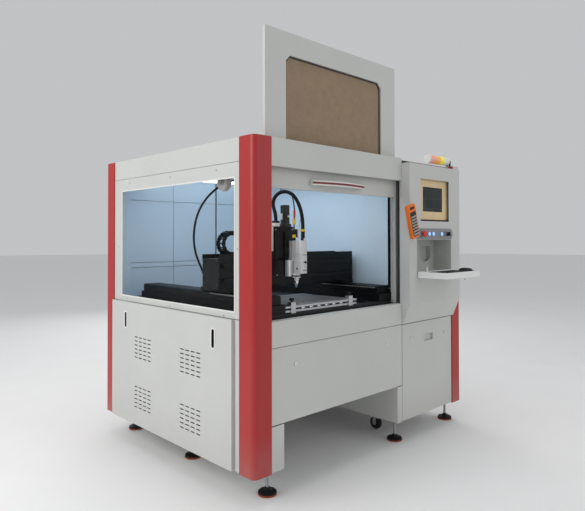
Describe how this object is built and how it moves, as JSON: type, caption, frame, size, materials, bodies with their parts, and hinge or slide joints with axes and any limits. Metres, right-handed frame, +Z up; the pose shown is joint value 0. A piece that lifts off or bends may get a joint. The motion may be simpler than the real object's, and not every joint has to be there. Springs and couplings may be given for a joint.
{
  "type": "laser engraver",
  "caption": "Enclosed laser cutting and engraving machine with a lifting front door, moving gantry and head, folding keyboard tray and hinged service panels.",
  "frame": {"origin": "middle of the whole machine's footprint, on the floor", "axes": "+X to the machine's right seen from the front, +Y to its back, +Z up; the front faces -Y"},
  "size_m": [1.866, 1.763, 2.293],
  "materials": {
    "panel_grey": "satin light grey powder coat",
    "post_red": "satin red powder coat",
    "lining_white": "satin off-white powder coat",
    "frame_steel": "matt grey paint on welded tube",
    "bed_black": "matt black paint",
    "axis_black": "black anodised and moulded covers",
    "silver": "brushed and anodised aluminium",
    "steel": "brushed steel",
    "nozzle_chrome": "polished",
    "pane_tinted": "clear acrylic with a faint tint",
    "film_brown": "brown protective paper film on acrylic",
    "led_white": "opal diffuser",
    "handle_body": "satin aluminium bow with a red band",
    "monitor_cream": "pale bezel under protective film",
    "screen_black": "glossy dark screen",
    "plate_grey": "brushed grey plate",
    "chain_black": "moulded nylon",
    "motor_black": "satin black motor housing",
    "foot_mix": "rubber pad, plastic dish and plated stud",
    "estop_red": "gloss red mushroom",
    "button_blue": "illuminated blue caps",
    "knob_black": "black turn knob",
    "tray_white": "light grey powder coat",
    "keys_black": "black moulded keys",
    "lock_steel": "plated lock",
    "remote_orange": "orange case with a dark key field",
    "light_base": "black moulded base",
    "light_lenses": "red, amber and green lens rings",
    "caster_steel": "zinc plated",
    "wheel_tread": "dark tread on a moulded hub",
    "cord_black": "black sheath",
    "cabinet_inside": "control units and laser source"
  },
  "bodies": {
    "cabinet": {"base_frame": "frame_steel", "lower_skins": "panel_grey", "table_bed": "bed_black", "corner_posts": "post_red", "front_fixed_panels": "panel_grey", "left_fixed_panels": "panel_grey", "side_window_pane": "pane_tinted", "roof_panel": "panel_grey", "outer_panels": "panel_grey", "chamber_lining": "lining_white", "led_bars": "led_white", "door_guides": "panel_grey", "console_housing": "panel_grey", "monitor": "monitor_cream", "monitor_screen": "screen_black", "button_plate": "plate_grey", "y_axis_modules": "axis_black", "work_fixture": "silver", "cable_balancer": "steel", "leveling_feet": "foot_mix", "laser_source": "cabinet_inside", "control_units": "cabinet_inside", "panel_screws": "steel", "fixed_hinges": "steel", "stack_light_foot": "light_base", "caster_plates": "caster_steel"},
    "door": {"door_frame": "panel_grey", "door_window": "film_brown", "door_handle": "handle_body"},
    "gantry": {"gantry_beam": "axis_black"},
    "chain_bend": {"cable_chain": "chain_black"},
    "carriage": {"x_carriage": "axis_black", "z_motor": "motor_black", "fibre_cable": "cord_black"},
    "head": {"z_slide": "axis_black", "cutting_head": "silver", "nozzle": "nozzle_chrome", "head_conduit": "cord_black"},
    "tray": {"keyboard_tray": "tray_white", "keyboard": "keys_black", "mouse": "keys_black"},
    "estop": {"estop_button": "estop_red"},
    "start": {"start_button": "button_blue"},
    "pause": {"pause_button": "button_blue"},
    "light": {"light_button": "button_blue"},
    "key": {"key_switch": "knob_black"},
    "flap": {"front_flap": "panel_grey"},
    "flap_lock_a": {"flap_lock_left": "lock_steel"},
    "flap_lock_b": {"flap_lock_right": "lock_steel"},
    "pedestal": {"pedestal_door": "panel_grey"},
    "pedestal_lock_a": {"pedestal_lock_left": "lock_steel"},
    "pedestal_lock_b": {"pedestal_lock_right": "lock_steel"},
    "cover": {"left_cover": "panel_grey"},
    "remote": {"remote_control": "remote_orange"},
    "stack": {"stack_light": "light_base", "stack_light_lenses": "light_lenses"},
    "fork_front": {"caster_fork_front": "caster_steel"},
    "wheel_front": {"caster_wheel_front": "wheel_tread"},
    "fork_rear": {"caster_fork_rear": "caster_steel"},
    "wheel_rear": {"caster_wheel_rear": "wheel_tread"}
  },
  "joints": [
    {"name": "door_slide", "type": "slide", "parent": "cabinet", "child": "door", "axis": [0, 0, 1], "range_m": [-0.646, 0]},
    {"name": "gantry_y", "type": "slide", "parent": "cabinet", "child": "gantry", "axis": [0, 1, 0], "range_m": [-0.06, 0.54]},
    {"name": "chain_follow", "type": "slide", "parent": "gantry", "child": "chain_bend", "axis": [1, 0, 0], "range_m": [-0.075, 0.15]},
    {"name": "carriage_x", "type": "slide", "parent": "gantry", "child": "carriage", "axis": [1, 0, 0], "range_m": [-0.15, 0.3], "deforming": ["fibre_cable"]},
    {"name": "head_z", "type": "slide", "parent": "carriage", "child": "head", "axis": [0, 0, 1], "range_m": [-0.055, 0.08], "deforming": ["head_conduit"]},
    {"name": "tray_hinge", "type": "hinge", "parent": "cabinet", "child": "tray", "pos_m": [0.5195, -0.6705, 1.026], "axis": [-1, 0, 0], "range_deg": [0, 90]},
    {"name": "estop_push", "type": "slide", "parent": "cabinet", "child": "estop", "axis": [0, 1, 0], "range_m": [0, 0.005], "stiffness_N_per_m": 1500, "springref_m": -0.002},
    {"name": "start_push", "type": "slide", "parent": "cabinet", "child": "start", "axis": [0, 1, 0], "range_m": [0, 0.003], "stiffness_N_per_m": 800, "springref_m": -0.002},
    {"name": "pause_push", "type": "slide", "parent": "cabinet", "child": "pause", "axis": [0, 1, 0], "range_m": [0, 0.003], "stiffness_N_per_m": 800, "springref_m": -0.002},
    {"name": "light_push", "type": "slide", "parent": "cabinet", "child": "light", "axis": [0, 1, 0], "range_m": [0, 0.003], "stiffness_N_per_m": 800, "springref_m": -0.002},
    {"name": "key_turn", "type": "hinge", "parent": "cabinet", "child": "key", "pos_m": [0.6665, -0.6835, 1.279], "axis": [0, -1, 0], "range_deg": [-90, 0]},
    {"name": "flap_hinge", "type": "hinge", "parent": "cabinet", "child": "flap", "pos_m": [-0.286, -0.6095, 0.371], "axis": [1, 0, 0], "range_deg": [0, 90]},
    {"name": "flap_lock_left_turn", "type": "hinge", "parent": "flap", "child": "flap_lock_a", "pos_m": [-0.6535, -0.6175, 0.635], "axis": [0, 1, 0], "range_deg": [0, 90]},
    {"name": "flap_lock_right_turn", "type": "hinge", "parent": "flap", "child": "flap_lock_b", "pos_m": [0.0925, -0.6175, 0.63], "axis": [0, 1, 0], "range_deg": [0, 90]},
    {"name": "pedestal_hinge", "type": "hinge", "parent": "cabinet", "child": "pedestal", "pos_m": [0.5315, -0.6095, 0.153], "axis": [1, 0, 0], "range_deg": [0, 90]},
    {"name": "pedestal_lock_left_turn", "type": "hinge", "parent": "pedestal", "child": "pedestal_lock_a", "pos_m": [0.3465, -0.6175, 0.631], "axis": [0, 1, 0], "range_deg": [0, 90]},
    {"name": "pedestal_lock_right_turn", "type": "hinge", "parent": "pedestal", "child": "pedestal_lock_b", "pos_m": [0.7275, -0.6175, 0.629], "axis": [0, 1, 0], "range_deg": [0, 90]},
    {"name": "cover_lift_off", "type": "slide", "parent": "cabinet", "child": "cover", "axis": [-1, 0, 0], "range_m": [0, 0.22]},
    {"name": "remote_lift_off", "type": "slide", "parent": "cabinet", "child": "remote", "axis": [0, -1, 0], "range_m": [0, 0.25]},
    {"name": "stack_light_fold", "type": "hinge", "parent": "cabinet", "child": "stack", "pos_m": [0.8325, -0.5935, 1.771], "axis": [0, 1, 0], "range_deg": [0, 90]},
    {"name": "caster_front_swivel", "type": "hinge", "parent": "cabinet", "child": "fork_front", "pos_m": [0.3625, -0.3535, 0.092], "axis": [0, 0, 1], "continuous": true},
    {"name": "caster_front_roll", "type": "hinge", "parent": "fork_front", "child": "wheel_front", "pos_m": [0.3625, -0.3275, 0.044], "axis": [1, 0, 0], "continuous": true},
    {"name": "caster_rear_swivel", "type": "hinge", "parent": "cabinet", "child": "fork_rear", "pos_m": [0.3625, 0.6115, 0.092], "axis": [0, 0, 1], "continuous": true},
    {"name": "caster_rear_roll", "type": "hinge", "parent": "fork_rear", "child": "wheel_rear", "pos_m": [0.3625, 0.6375, 0.044], "axis": [1, 0, 0], "continuous": true}
  ],
  "couplings": [
    {"joint": "chain_follow", "follows": "carriage_x", "ratio": 0.5}
  ]
}
